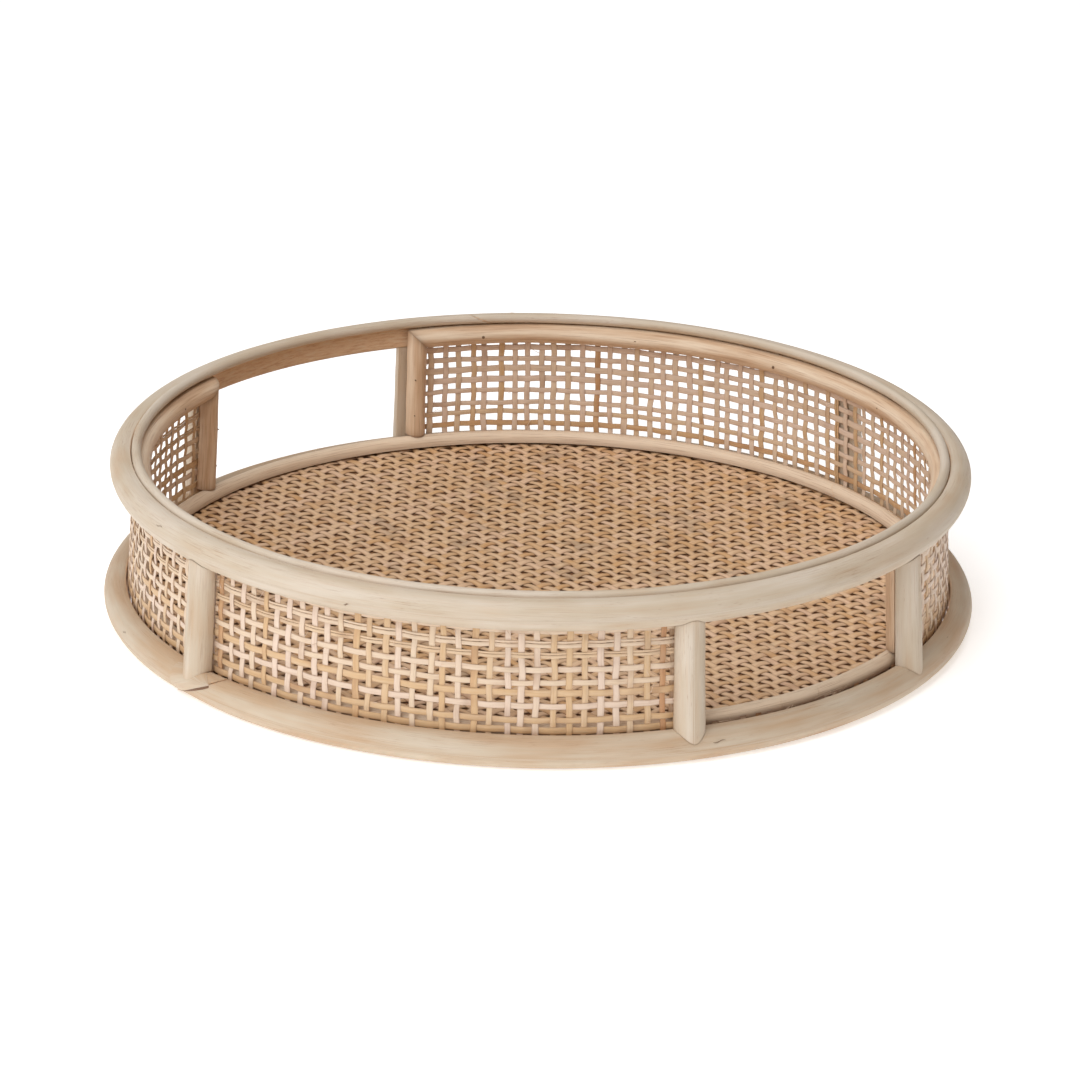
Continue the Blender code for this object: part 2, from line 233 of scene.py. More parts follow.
# Woven floor; half widths are kept by whether the strips run along Y
FLOOR_Z = MAT_BOX[0].z + 0.5 * MM
FLOOR_R = MAT_BOX[1].x - 1.0 * MM
FLOOR_PITCH_X = 7.03 * MM
FLOOR_PITCH_Y = 5.88 * MM
FLOOR_WAVE = 0.33 * MM
FLOOR_HALF_THICK = 0.34 * MM
FLOOR_HALF_WIDTHS = {True: (1.85 * MM, 2.45 * MM), False: (1.65 * MM, 2.15 * MM)}
FLOOR_JITTER = 0.32 * MM
FLOOR_DRIFT = 0.36 * MM


def srgb(red, green, blue):
    """A colour given as it looks on a screen, as the linear values that shaders take."""
    values = []
    for part in (red, green, blue):
        c = part / 255
        values.append(c / 12.92 if c <= 0.04045 else ((c + 0.055) / 1.055) ** 2.4)
    return (*values, 1.0)


# Colours, as they look under white light
POLE_PALE = srgb(216, 203, 186)
POLE_CREAM = srgb(206, 190, 168)
POLE_TAN = srgb(196, 168, 138)
RAW_WOOD = srgb(234, 196, 156)
RAW_DARK = srgb(204, 150, 110)
STRIP_LIGHT = srgb(234, 212, 186)
STRIP_WARM = srgb(214, 182, 150)
STRIP_BROWN = srgb(160, 114, 84)
CANE_PINK = srgb(243, 223, 207)
CANE_CREAM = srgb(239, 219, 194)
CANE_OCHRE = srgb(226, 193, 150)
CANE_ORANGE = srgb(203, 154, 114)
CANE_LINE = srgb(176, 128, 92)
CANE_PURPLE = srgb(120, 84, 74)
CANE_GREY = srgb(176, 164, 150)
CANE_EDGE = srgb(124, 82, 54)
# Painted shade for the cane: the floor's darkens and warms it all over, the walls' darkens it a hair
WALL_PAINTED_SHADE = srgb(255, 252, 248)
FLOOR_PAINTED_SHADE = srgb(242, 224, 202)
BOARD_LIGHT = srgb(172, 128, 92)
BOARD_DARK = srgb(128, 88, 60)
# Dark for splits, pores, cut ends and fray, and for painted shade and painted shadow
MARK_AND_SHADE_DARK = srgb(102, 62, 38)
STEEL_DARK = srgb(104, 80, 62)
STEEL_WORN = srgb(152, 126, 104)
STAGE_WHITE = srgb(250, 250, 250)

# The surrounding light, from the picture's right side to its left side
WORLD_DIM = (0.110, 0.076, 0.050, 1.0)
WORLD_BRIGHT = (0.66, 0.66, 0.66, 1.0)

# Lamps: angle and elevation, distance, size and power
KEY_LAMP = (CAMERA_ANGLE - radians(34), radians(42), 2.2, 1.5, 17.0)
TOP_LAMP = (CAMERA_ANGLE, radians(80), 2.4, 1.6, 20.0)
STAGE_GLOW = 0.44
STAGE_SIZE = 12.0
STAGE_DROP = -0.05 * MM


# ---------------------------------------------------------------- node materials

class Recipe:
    """A node material in the making. Its calls return sockets."""

    def __init__(self, name):
        self.material = bpy.data.materials.new(name)
        self.material.use_nodes = True
        self.tree = self.material.node_tree
        self.shader = self.tree.nodes["Principled BSDF"]

    def node(self, kind, inputs=(), **settings):
        made = self.tree.nodes.new("ShaderNode" + kind)
        for key, value in settings.items():
            setattr(made, key, value)
        for slot, value in inputs:
            if isinstance(value, bpy.types.NodeSocket):
                self.tree.links.new(value, made.inputs[slot])
            else:
                made.inputs[slot].default_value = value
        return made

    def attribute(self, name):
        return self.node("Attribute", attribute_name=name).outputs["Vector"]

    def place(self):
        return self.node("TexCoord").outputs["Object"]

    def parts(self, vector):
        split = self.node("SeparateXYZ", [(0, vector)])
        return split.outputs[0], split.outputs[1], split.outputs[2]

    def scaled(self, vector, x, y, z):
        return self.node("VectorMath", [(0, vector), (1, (x, y, z))], operation="MULTIPLY").outputs[0]

    def noise(self, vector, detail=3.0, rough=0.55):
        inputs = [("Vector", vector), ("Scale", 1.0), ("Detail", detail), ("Roughness", rough)]
        return self.node("TexNoise", inputs).outputs[0]

    def spots(self, vector, size):
        """1 close to scattered points and 0 away from them."""
        cells = self.node("TexVoronoi", [("Vector", vector), ("Scale", 1.0)])
        return self.fade(cells.outputs["Distance"], size, 0.0)

    def fade(self, value, low, high, to_low=0.0, to_high=1.0):
        """Maps low..high to to_low..to_high, clamped."""
        made = self.node("MapRange", [(0, value), (1, low), (2, high), (3, to_low), (4, to_high)])
        return made.outputs[0]

    def math(self, operation, a, b):
        return self.node("Math", [(0, a), (1, b)], operation=operation).outputs[0]

    def mix(self, share, a, b, blend="MIX"):
        made = self.node("Mix", [(0, share), (6, a), (7, b)], data_type="RGBA", blend_type=blend)
        return made.outputs[2]

    def ramp(self, value, stops):
        made = self.node("ValToRGB", [(0, value)])
        elements = made.color_ramp.elements
        elements[0].position, elements[0].color = stops[0]
        elements[1].position, elements[1].color = stops[-1]
        for position, colour in stops[1:-1]:
            elements.new(position).color = colour
        return made.outputs[0]

    def finish(self, colour, roughness, height, bump_distance, specular=0.4, metallic=0.0):
        self.tree.links.new(colour, self.shader.inputs["Base Color"])
        self.tree.links.new(roughness, self.shader.inputs["Roughness"])
        bump = self.node("Bump", [("Height", height), ("Distance", bump_distance), ("Strength", 1.0)])
        self.tree.links.new(bump.outputs[0], self.shader.inputs["Normal"])
        self.shader.inputs["Specular IOR Level"].default_value = specular
        self.shader.inputs["Metallic"].default_value = metallic
        return self.material


def pole_finish():
    """Peeled, sanded rattan: pale, with fine fibres, short pores, soft blotches and raw planed faces."""
    r = Recipe("peeled_pole")
    grain = r.attribute("grain")
    tint, raw, mark = r.parts(r.attribute("tone"))
    fibres = r.noise(r.scaled(grain, 45, 1500, 31), 4.0, 0.6)
    bands = r.noise(r.scaled(grain, 14, 160, 17), 3.0)
    blotches = r.noise(r.scaled(grain, 24, 60, 7), 2.0)
    tone = r.math("ADD", r.math("MULTIPLY", bands, 0.55), r.math("MULTIPLY", blotches, 0.45))
    tone = r.math("ADD", tone, r.math("MULTIPLY", r.math("SUBTRACT", tint, 0.5), 0.36))
    colour = r.ramp(tone, [(0.30, POLE_TAN), (0.47, POLE_CREAM), (0.62, POLE_PALE)])
    streak = r.fade(fibres, 0.50, 0.72)
    colour = r.mix(r.math("MULTIPLY", streak, 0.30), colour, STRIP_WARM)
    hairlines = r.fade(r.noise(r.scaled(grain, 60, 3400, 41), 4.0, 0.65), 0.54, 0.66)
    patches = r.fade(r.noise(r.scaled(grain, 16, 90, 9), 2.0), 0.44, 0.62, 0.08, 0.62)
    colour = r.mix(r.math("MULTIPLY", hairlines, patches), colour, STRIP_BROWN)
    pores = r.spots(r.scaled(grain, 160, 1300, 11), 0.23)
    seldom = r.fade(r.noise(r.scaled(grain, 30, 220, 5)), 0.50, 0.62)
    pores = r.math("MULTIPLY", pores, seldom)
    colour = r.mix(r.math("MULTIPLY", pores, 0.55), colour, STRIP_BROWN)
    worn = r.fade(r.noise(r.scaled(grain, 9, 26, 3)), 0.52, 0.70, 0.0, 0.30)
    colour = r.mix(worn, colour, STRIP_WARM)
    torn = r.noise(r.scaled(grain, 130, 900, 23), 5.0, 0.7)
    raw_colour = r.ramp(torn, [(0.30, RAW_DARK), (0.52, RAW_WOOD), (0.72, STRIP_LIGHT)])
    colour = r.mix(r.math("MULTIPLY", raw, 0.85), colour, raw_colour)
    # Dark marks: splits and cut ends, and the painted shadow under the scarf's torn tip
    colour = r.mix(mark, colour, MARK_AND_SHADE_DARK)
    relief = r.math("ADD", r.math("MULTIPLY", fibres, 0.5), r.math("MULTIPLY", pores, -0.6))
    relief = r.math("ADD", relief, r.math("MULTIPLY", r.math("MULTIPLY", torn, raw), 2.0))
    roughness = r.fade(bands, 0.3, 0.7, 0.50, 0.64)
    return r.finish(colour, roughness, relief, 0.18 * MM)


def strip_finish():
    """Half-round core strips: warmer than the poles, with long brown vessel lines."""
    r = Recipe("half_round_strip")
    grain = r.attribute("grain")
    tint, raw, mark = r.parts(r.attribute("tone"))
    fibres = r.noise(r.scaled(grain, 40, 1900, 29), 4.0, 0.6)
    bands = r.noise(r.scaled(grain, 18, 300, 13), 3.0)
    tone = r.math("ADD", r.math("MULTIPLY", bands, 0.6), r.math("MULTIPLY", tint, 0.4))
    colour = r.ramp(tone, [(0.30, STRIP_BROWN), (0.48, STRIP_WARM), (0.64, STRIP_LIGHT)])
    lines = r.fade(fibres, 0.53, 0.70)
    colour = r.mix(r.math("MULTIPLY", lines, 0.55), colour, STRIP_BROWN)
    colour = r.mix(r.math("MULTIPLY", raw, 0.6), colour, RAW_WOOD)
    # Dark marks: cut ends, and the painted shade along the beading's foot
    colour = r.mix(mark, colour, MARK_AND_SHADE_DARK)
    roughness = r.fade(bands, 0.3, 0.7, 0.42, 0.60)
    return r.finish(colour, roughness, fibres, 0.15 * MM)


def cane_finish(name, painted_shade, line_share, edge_share, grey_share):
    """Flat cane: each strip has its own tint, with fine lines and darker edges; its dark mark paints shade
    on the sills, and the whole colour is multiplied by a colour of painted shade.
    """
    r = Recipe(name)
    grain = r.attribute("grain")
    tint, edge, mark = r.parts(r.attribute("tone"))
    fibres = r.noise(r.scaled(grain, 60, 1500, 37), 3.0, 0.65)
    bands = r.noise(r.scaled(grain, 35, 420, 19), 3.0)
    stains = r.noise(r.scaled(grain, 55, 55, 5), 2.0)
    stops = [(0.0, CANE_PURPLE), (0.10, CANE_ORANGE), (0.36, CANE_OCHRE), (0.66, CANE_CREAM),
             (1.0, CANE_PINK)]
    shift = r.math("MULTIPLY", r.math("SUBTRACT", bands, 0.5), 0.40)
    colour = r.ramp(r.math("ADD", tint, shift), stops)
    lines = r.fade(fibres, 0.50, 0.72)
    colour = r.mix(r.math("MULTIPLY", lines, line_share), colour, CANE_LINE)
    colour = r.mix(r.fade(stains, 0.56, 0.74, 0.0, 0.45), colour, STRIP_BROWN)
    greyed = r.fade(r.noise(r.scaled(r.place(), 46, 62, 46), 2.0), 0.60, 0.70, 0.0, grey_share)
    colour = r.mix(greyed, colour, CANE_GREY)
    colour = r.mix(r.math("MULTIPLY", edge, edge_share), colour, CANE_EDGE)
    # Dark marks: painted shade on the sills, darker at their frayed tops
    colour = r.mix(mark, colour, MARK_AND_SHADE_DARK)
    # Painted shade: the whole colour is multiplied darker, much more on the floor than on the walls
    colour = r.mix(1.0, colour, painted_shade, "MULTIPLY")
    roughness = r.fade(bands, 0.3, 0.7, 0.36, 0.56)
    return r.finish(colour, roughness, fibres, 0.12 * MM, specular=0.45)


def board_finish():
    """A plain sawn board under the weave: straight brown grain with darker pores."""
    r = Recipe("plain_board")
    spot = r.place()
    figure = r.noise(r.scaled(spot, 14, 120, 60), 4.0, 0.6)
    pores = r.noise(r.scaled(spot, 60, 1800, 400), 3.0, 0.6)
    colour = r.ramp(figure, [(0.30, BOARD_DARK), (0.70, BOARD_LIGHT)])
    colour = r.mix(r.fade(pores, 0.52, 0.72, 0.0, 0.5), colour, MARK_AND_SHADE_DARK)
    roughness = r.fade(figure, 0.3, 0.7, 0.66, 0.82)
    return r.finish(colour, roughness, pores, 0.15 * MM, specular=0.3)


def steel_finish():
    """Dull dark steel brads, a little worn on their heads."""
    r = Recipe("dark_steel")
    grime = r.noise(r.scaled(r.place(), 900, 900, 900), 4.0, 0.6)
    colour = r.ramp(grime, [(0.35, STEEL_DARK), (0.70, STEEL_WORN)])
    roughness = r.fade(grime, 0.3, 0.7, 0.35, 0.60)
    return r.finish(colour, roughness, grime, 0.05 * MM, specular=0.5, metallic=0.5)


def stage_finish():
    """A plain white floor that glows a little, so that it stays white all round."""
    material = bpy.data.materials.new("stage_white")
    material.use_nodes = True
    shader = material.node_tree.nodes["Principled BSDF"]
    shader.inputs["Base Color"].default_value = STAGE_WHITE
    shader.inputs["Roughness"].default_value = 0.9
    shader.inputs["Specular IOR Level"].default_value = 0.1
    shader.inputs["Emission Color"].default_value = (1.0, 1.0, 1.0, 1.0)
    shader.inputs["Emission Strength"].default_value = STAGE_GLOW
    return material


POLE = pole_finish()
STRIP = strip_finish()
WALL_CANE = cane_finish("wall_cane", WALL_PAINTED_SHADE, line_share=0.26, edge_share=0.42, grey_share=0.15)
FLOOR_CANE = cane_finish("floor_cane", FLOOR_PAINTED_SHADE, line_share=0.58, edge_share=0.72, grey_share=0.55)
BOARD = board_finish()
STEEL = steel_finish()


# ---------------------------------------------------------------- mesh tools

def dice(name):
    """Random numbers of a piece's own, the same in each run."""
    return np.random.default_rng(zlib.crc32(name.encode()))


def drift(rng, s, longest, waves=4):
    """A smooth irregular curve along s, between about -1 and 1."""
    total = np.zeros_like(s)
    for wave in range(1, waves + 1):
        total += np.sin(tau * s * wave / longest * rng.uniform(0.8, 1.2) + rng.uniform(0, tau)) / wave
    return total / DRIFT_PEAK


def unit(vectors):
    """The same directions, one long."""
    return vectors / np.linalg.norm(vectors, axis=-1, keepdims=True)


def wall_rho(z):
    """The outer radius of the leaning walls at height z."""
    share = (z - RING_CENTRE[1]) / (RIM_CENTRE[1] - RING_CENTRE[1])
    return WALL_FOOT_RHO + (WALL_HEAD_RHO - WALL_FOOT_RHO) * share


def on_circle(rho, angle, z):
    """Points at radii, angles and heights that broadcast together."""
    return np.stack(np.broadcast_arrays(rho * np.cos(angle), rho * np.sin(angle), z), axis=-1)


class Shape:
    """Lofted bodies gathered into one mesh, with grain and tone kept on the points."""

    def __init__(self):
        self.points, self.faces, self.grain, self.tone = [], [], [], []
        self.count = 0

    def loft(self, rows, along, around, seed, tone):
        """A closed body through rows of points (stations, points round, 3)."""
        stations, sides = rows.shape[:2]
        index = np.arange(stations * sides).reshape(stations, sides)
        turned = np.roll(index, -1, axis=1)
        quads = np.stack([index[:-1], turned[:-1], turned[1:], index[1:]], axis=-1).reshape(-1, 4)
        flat = rows.reshape(-1, 3)
        a, b, c, d = (flat[quads[:, i]] - flat[0] for i in range(4))
        inside_out = np.sum(a * np.cross(b, c) + a * np.cross(c, d)) < 0
        faces = quads.tolist() + [index[0][::-1].tolist(), index[-1].tolist()]
        if inside_out:
            faces = [face[::-1] for face in faces]
        self.faces += [[i + self.count for i in face] for face in faces]
        grain = np.empty(rows.shape)
        grain[..., 0] = np.reshape(along, (-1, 1))
        grain[..., 1] = np.reshape(around, (1, -1))
        grain[..., 2] = seed
        self.points.append(flat)
        self.grain.append(grain.reshape(-1, 3))
        self.tone.append(np.broadcast_to(tone, rows.shape).reshape(-1, 3))
        self.count += stations * sides

    def piece(self, name, material, slot, *nodes):
        mesh = bpy.data.meshes.new(name)
        mesh.from_pydata(np.concatenate(self.points).tolist(), [], self.faces)
        for key, parts in (("grain", self.grain), ("tone", self.tone)):
            layer = mesh.attributes.new(key, "FLOAT_VECTOR", "POINT")
            layer.data.foreach_set("vector", np.concatenate(parts).ravel())
        mesh.materials.append(material)
        mesh.shade_smooth()
        mesh.set_sharp_from_angle(angle=SHARP_ANGLE)
        made = bpy.data.objects.new(name, mesh)
        bpy.context.collection.objects.link(made)
        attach(made, "root")
        if nodes:
            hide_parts(*nodes)
        return made


def tone_of(shape, tint=0.5, raw=0.0, mark=0.0):
    """Tone values for rows of the given (stations, points round) shape."""
    tone = np.empty((*shape, 3))
    tone[..., 0] = tint
    tone[..., 1] = raw
    tone[..., 2] = mark
    return tone


def bend(shape, outline, centre, angles, seed, swell, sway, trim, tint, mark=0.0):
    """Carries an outline of (rho, z) offsets round the tray's axis.

    swell scales the outline and sway moves it outward, both by angle. trim cuts the joint."""
    size = np.reshape(swell, (-1, 1))
    rho = centre[0] + outline[:, 0] * size + np.reshape(sway, (-1, 1))
    z = centre[1] + outline[:, 1] * size
    rho, z, raw = trim(angles[:, None], rho, z)
    rows = on_circle(rho, angles[:, None], z)
    steps = np.linalg.norm(np.roll(outline, -1, axis=0) - outline, axis=1)
    around = np.concatenate([[0.0], np.cumsum(steps)[:-1]])
    tone = tone_of(rows.shape[:2], tint, raw, mark)
    shape.loft(rows, angles * centre[0], around, seed, tone)


def ribbon(shape, path, across, half_width, half_thick, section, seed, tone):
    """A flat strip along a path: section holds (across, out) pairs between -1 and 1."""
    ahead = unit(np.gradient(path, axis=0))
    out = unit(np.cross(ahead, across))
    widths = np.reshape(half_width * np.ones(len(path)), (-1, 1, 1))
    thicks = np.reshape(half_thick * np.ones(len(path)), (-1, 1, 1))
    sideways = across[:, None] * section[None, :, :1] * widths
    rows = path[:, None] + sideways + out[:, None] * section[None, :, 1:] * thicks
    lengths = np.linalg.norm(np.diff(path, axis=0), axis=1)
    along = np.concatenate([[0.0], np.cumsum(lengths)])
    shape.loft(rows, along, section[:, 0] * np.mean(widths) + 0.01 * seed, seed, tone)


# ---------------------------------------------------------------- bent poles and strips

def ring_angles(joint, half_joint, stations):
    """Angles for a piece bent once round, with its two ends lying past each other at the joint."""
    lap = np.linspace(-half_joint, half_joint, JOINT_STATIONS)
    body = np.linspace(half_joint, tau - half_joint, stations)[1:-1]
    return joint + np.concatenate([lap, body, tau + lap])


def scarf(joint, half_joint, centre, half_width, height, gap):
    """Trims the two ends of a bent piece along one sloping face; the last end lies on top.

    The section is an ellipse about its centre, half_width across and height above the centre."""
    low, high = centre[1] - height, centre[1] + height

    def trim(angle, rho, z):
        first = np.clip((angle - joint + half_joint) / (2 * half_joint), 0, 1)
        last = np.clip((angle - tau - joint + half_joint) / (2 * half_joint), 0, 1)
        starting = angle < joint + half_joint
        ending = angle > joint + tau - half_joint
        ceiling = np.where(starting, low + (high - low) * first, high + 1)
        floor = np.where(ending, np.minimum(low + (high - low) * last + gap, high), low - 1)
        is_cut = (z > ceiling) | (z < floor)
        z = np.clip(z, floor, ceiling)
        chord = half_width * np.sqrt(np.maximum(0.0, 1 - ((z - centre[1]) / height) ** 2))
        narrowed = centre[0] + np.clip(rho - centre[0], -chord, chord)
        return np.where(is_cut, narrowed, rho), z, is_cut.astype(float)
    return trim


def circle_outline(radius, count):
    """A round section, as (rho, z) offsets from its centre."""
    a = tau * np.arange(count) / count
    return np.stack([np.cos(a), np.sin(a)], axis=1) * radius


def pole_life(name, angles, rho):
    """A bent pole's small swellings, and how far it strays inward from a true circle."""
    rng = dice(name)
    s = angles * rho
    swell = 1 + 0.008 * drift(rng, s, 0.19) - 0.010
    sway = 0.22 * MM * drift(rng, s, 0.42) - 0.22 * MM
    return swell, sway


def add_scarf_tip(shape, half):
    """The over end of the bottom ring's scarf: it stands a little proud and ends in a torn tip."""
    share = np.linspace(0, 1, TIP_STATIONS)[:, None]
    start, tip = RING_JOINT + TIP_START * half, RING_JOINT + TIP_STOP * half
    angle = start + (tip - start) * share
    lower = np.arcsin((angle - RING_JOINT) / half) - TIP_OVERHANG
    closing = np.clip((share - TIP_NARROWS) / (1 - TIP_NARROWS), 0, 1) ** 1.3
    upper = TIP_TOP + (lower + TIP_POINT - TIP_TOP) * closing
    across = np.linspace(0, 1, TIP_SECTION)[None]
    outer = lower + (upper - lower) * across
    proud = TIP_PROUD * (1 - across) ** 0.6 * np.clip(share / TIP_NARROWS, 0, 1) ** 1.5
    inner = outer[:, ::-1]
    section = np.concatenate([outer, inner], axis=1)
    skin = RING_R * TIP_SUNK
    radius = np.concatenate([skin + proud, (skin - TIP_THICK) * np.ones_like(inner)], axis=1)
    widest = RING_CENTRE[0] + RING_R - TIP_INSIDE_RING
    rho = np.minimum(RING_CENTRE[0] + radius * np.cos(section), widest)
    z = np.maximum(RING_CENTRE[1] + radius * np.sin(section), RING_BOX[0].z)
    rows = on_circle(rho, angle, z)
    # Paler towards the end: partly its torn wood, partly a painted highlight where the end catches the
    # light
    pale = np.exp(-(1 - share) * TIP_FADE)
    tone = tone_of(rows.shape[:2], RING_TINT + TIP_PALER * pale)
    shape.loft(rows, angle[:, 0] * RING_CENTRE[0], section[0] * RING_R, 1.3, tone)
    add_painted_seam_shadow(shape, angle[:, 0], lower[:, 0] - SEAM_BELOW, skin, share[:, 0])


def add_painted_seam_shadow(shape, angle, below, skin, share):
    """A painted shadow under the torn tip: a dark strip along the seam, which widens along it."""
    z = np.maximum(RING_CENTRE[1] + skin * np.sin(below), RING_BOX[0].z + SEAM_LIFT)
    seam = on_circle(RING_CENTRE[0] + skin * np.cos(below), angle, z)
    out = on_circle(np.cos(below), angle, np.sin(below))
    across = unit(np.cross(out, np.gradient(seam, axis=0)))
    # Painted shadow: the strip is dark all along
    tone = cane_tone(TIP_STATIONS, THREAD, 0.4, SEAM_PAINTED_SHADOW)
    ribbon(shape, seam, across, (0.2 + 0.5 * share) * MM, SEAM_HALF_THICK, THREAD, 1.6, tone)


def pole_trim(joint, half_joint, centre, radius, gap, flat_rho):
    """Trims a pole's joint, its planed inner face and whatever would go under the ground."""
    sloping = scarf(joint, half_joint, centre, radius, radius, gap)

    def trim(angle, rho, z):
        rho, z, cut_share = sloping(angle, rho, z)
        planed = (rho < flat_rho).astype(float)
        return np.maximum(rho, flat_rho), np.maximum(z, RING_BOX[0].z), np.maximum(cut_share, planed)
    return trim


def make_bottom_ring():
    """The pole the tray stands on, which sinks a little under the torn tip of its joint."""
    name = "bottom_ring"
    shape = Shape()
    half = RING_HALF_JOINT
    angles = ring_angles(RING_JOINT, half, POLE_STATIONS)
    swell, sway = pole_life(name, angles, RING_CENTRE[0])
    for turn in (0.0, tau):
        swell = swell - (1 - TIP_SUNK) * np.exp(-((angles - turn - RING_JOINT) / half) ** 2)
    trim = pole_trim(RING_JOINT, half, RING_CENTRE, RING_R, RING_JOINT_GAP, RING_FLAT_RHO)
    outline = circle_outline(RING_R, POLE_SECTION)
    bend(shape, outline, RING_CENTRE, angles, 1.0, swell, sway, trim, RING_TINT)
    add_scarf_tip(shape, half)
    return shape.piece("pole_bottom_ring", POLE, "pole", name)


def make_top_rim():
    """The thick upper pole, planed inside where the walls' heads are."""
    name = "top_rim"
    shape = Shape()
    angles = ring_angles(RIM_JOINT, RIM_HALF_JOINT, POLE_STATIONS)
    swell, sway = pole_life(name, angles, RIM_CENTRE[0])
    trim = pole_trim(RIM_JOINT, RIM_HALF_JOINT, RIM_CENTRE, RIM_R, RIM_JOINT_GAP, RIM_FLAT_RHO)
    outline = circle_outline(RIM_R, POLE_SECTION)
    bend(shape, outline, RIM_CENTRE, angles, 2.0, swell, sway, trim, RIM_TINT)
    return shape.piece("pole_top_rim", POLE, "pole", name)


def make_rim_cap():
    """The thin round rod that covers the weave's cut edge."""
    name = "rim_cap"
    shape = Shape()
    angles = ring_angles(CAP_JOINT, CAP_HALF_JOINT, POLE_STATIONS)
    rng = dice(name)
    s = angles * CAP_CENTRE[0]
    swell = 0.97 + 0.03 * drift(rng, s, 0.07)
    sway = 0.12 * MM * drift(rng, s, 0.11)
    trim = scarf(CAP_JOINT, CAP_HALF_JOINT, CAP_CENTRE, CAP_R, CAP_R, CAP_JOINT_GAP)
    bend(shape, circle_outline(CAP_R, CAP_SECTION), CAP_CENTRE, angles, 3.0, swell, sway, trim, CAP_TINT)
    return shape.piece("rod_rim_cap", POLE, "pole", name)


def half_round_outline(half_width, height, count=14):
    """A half-round section, flat side down, with softly rounded lower edges."""
    a = np.linspace(0, pi, count)
    return np.stack([half_width * np.cos(a), height * np.sin(a) ** 0.85], axis=1)


def make_floor_beading():
    """The half-round strip round the floor, darker towards its foot, most on its outer side, as painted
    shade of the crevices beside it.
    """
    name = "floor_beading"
    shape = Shape()
    half = BEADING_HALF_JOINT
    angles = ring_angles(BEADING_JOINT, half, POLE_STATIONS)
    rng = dice(name)
    s = angles * BEADING_CENTRE[0]
    swell = 0.975 + 0.025 * drift(rng, s, 0.13)
    trim = scarf(BEADING_JOINT, half, BEADING_CENTRE, BEADING_HALF_WIDTH, BEADING_HEIGHT,
                 BEADING_JOINT_GAP)
    outline = half_round_outline(BEADING_HALF_WIDTH, BEADING_HEIGHT)
    # Painted shade: the lower flanks are darkened, the outer one most, where the crevice by the ring lies
    # in shade
    low = np.clip(1 - outline[:, 1] / (0.62 * BEADING_HEIGHT), 0, 1)
    painted_crevice_shade = np.where(outline[:, 0] > 0, 0.75, 0.30) * low
    bend(shape, outline, BEADING_CENTRE, angles, 4.0, swell, 0.0, trim, BEADING_TINT, painted_crevice_shade)
    return shape.piece("strip_floor_beading", STRIP, "strip", name)


STRIP_PROFILE = np.linspace(-pi / 2, pi / 2, STRIP_SECTION)


def strip_section(swell):
    """(across, depth) of a half-round strip from its flat side."""
    return STRIP_HALF_WIDTH * np.sin(STRIP_PROFILE) * swell, STRIP_DEPTH * np.cos(STRIP_PROFILE) * swell


def make_facing(wall, turn):
    """The half-round strip under the cap along one wall, mitred at both ends."""
    name = "facing_" + wall
    shape = Shape()
    rng = dice(name)
    share = np.linspace(0, 1, 200)[:, None]
    s = share * STRIP_FLAT_RHO * (pi - 2 * STRIP_START)
    across, depth = strip_section(0.975 + 0.02 * drift(rng, s, 0.16))
    mitre = (STRIP_HALF_WIDTH - across + MITRE_GAP) / STRIP_FLAT_RHO
    first, last = turn + STRIP_START + mitre, turn + pi - STRIP_START - mitre
    angle = first + (last - first) * share
    sag = 0.25 * MM * drift(rng, s, 0.30) - 0.25 * MM
    rows = on_circle(STRIP_FLAT_RHO - depth, angle, FACING_Z + across + sag)
    ends = np.exp(-s / (2 * MM)) + np.exp(-(s[-1] - s) / (2 * MM))
    tone = tone_of(rows.shape[:2], FACING_TINT, 0.0, 0.45 * ends)
    shape.loft(rows, s, STRIP_PROFILE * STRIP_HALF_WIDTH, 5.0 + turn, tone)
    return shape.piece("strip_" + name, STRIP, "strip", name)


def make_upright(name, edge_angle, side, seed):
    """A half-round strip beside a handle gap; side is +1 when its wall lies at larger angles."""
    shape = Shape()
    rng = dice(name)
    foot, head = UPRIGHT_BOX[0].z, UPRIGHT_BOX[1].z
    share = np.linspace(0, 1, 40)[:, None]
    s = share * (head - foot)
    across, depth = strip_section(0.975 + 0.02 * drift(rng, s, 0.06))
    from_edge = STRIP_HALF_WIDTH + across
    top = head - from_edge - MITRE_GAP
    z = foot + (top - foot) * share
    lean = 0.3 * MM * drift(rng, s, 0.09)
    angle = edge_angle + side * (from_edge + MITRE_GAP + lean * np.sin(pi * share)) / STRIP_FLAT_RHO
    flat_rho = wall_rho(z) - WALL_THICK - UPRIGHT_CLEAR
    rows = on_circle(flat_rho - depth, angle, z)
    ends = np.exp(-s / (2.5 * MM)) + np.exp(-(s[-1] - s) / (2.0 * MM))
    tone = tone_of(rows.shape[:2], UPRIGHT_TINT, 0.16, 0.45 * ends)
    shape.loft(rows, s, STRIP_PROFILE * STRIP_HALF_WIDTH, seed, tone)
    return shape.piece("strip_" + name, STRIP, "strip", name)


# ---------------------------------------------------------------- posts

def inside_pole(points, centre, radius):
    """Whether points lie inside a bent pole."""
    rho = np.hypot(points[..., 0], points[..., 1])
    return np.hypot(rho - centre[0], points[..., 2] - centre[1]) < radius


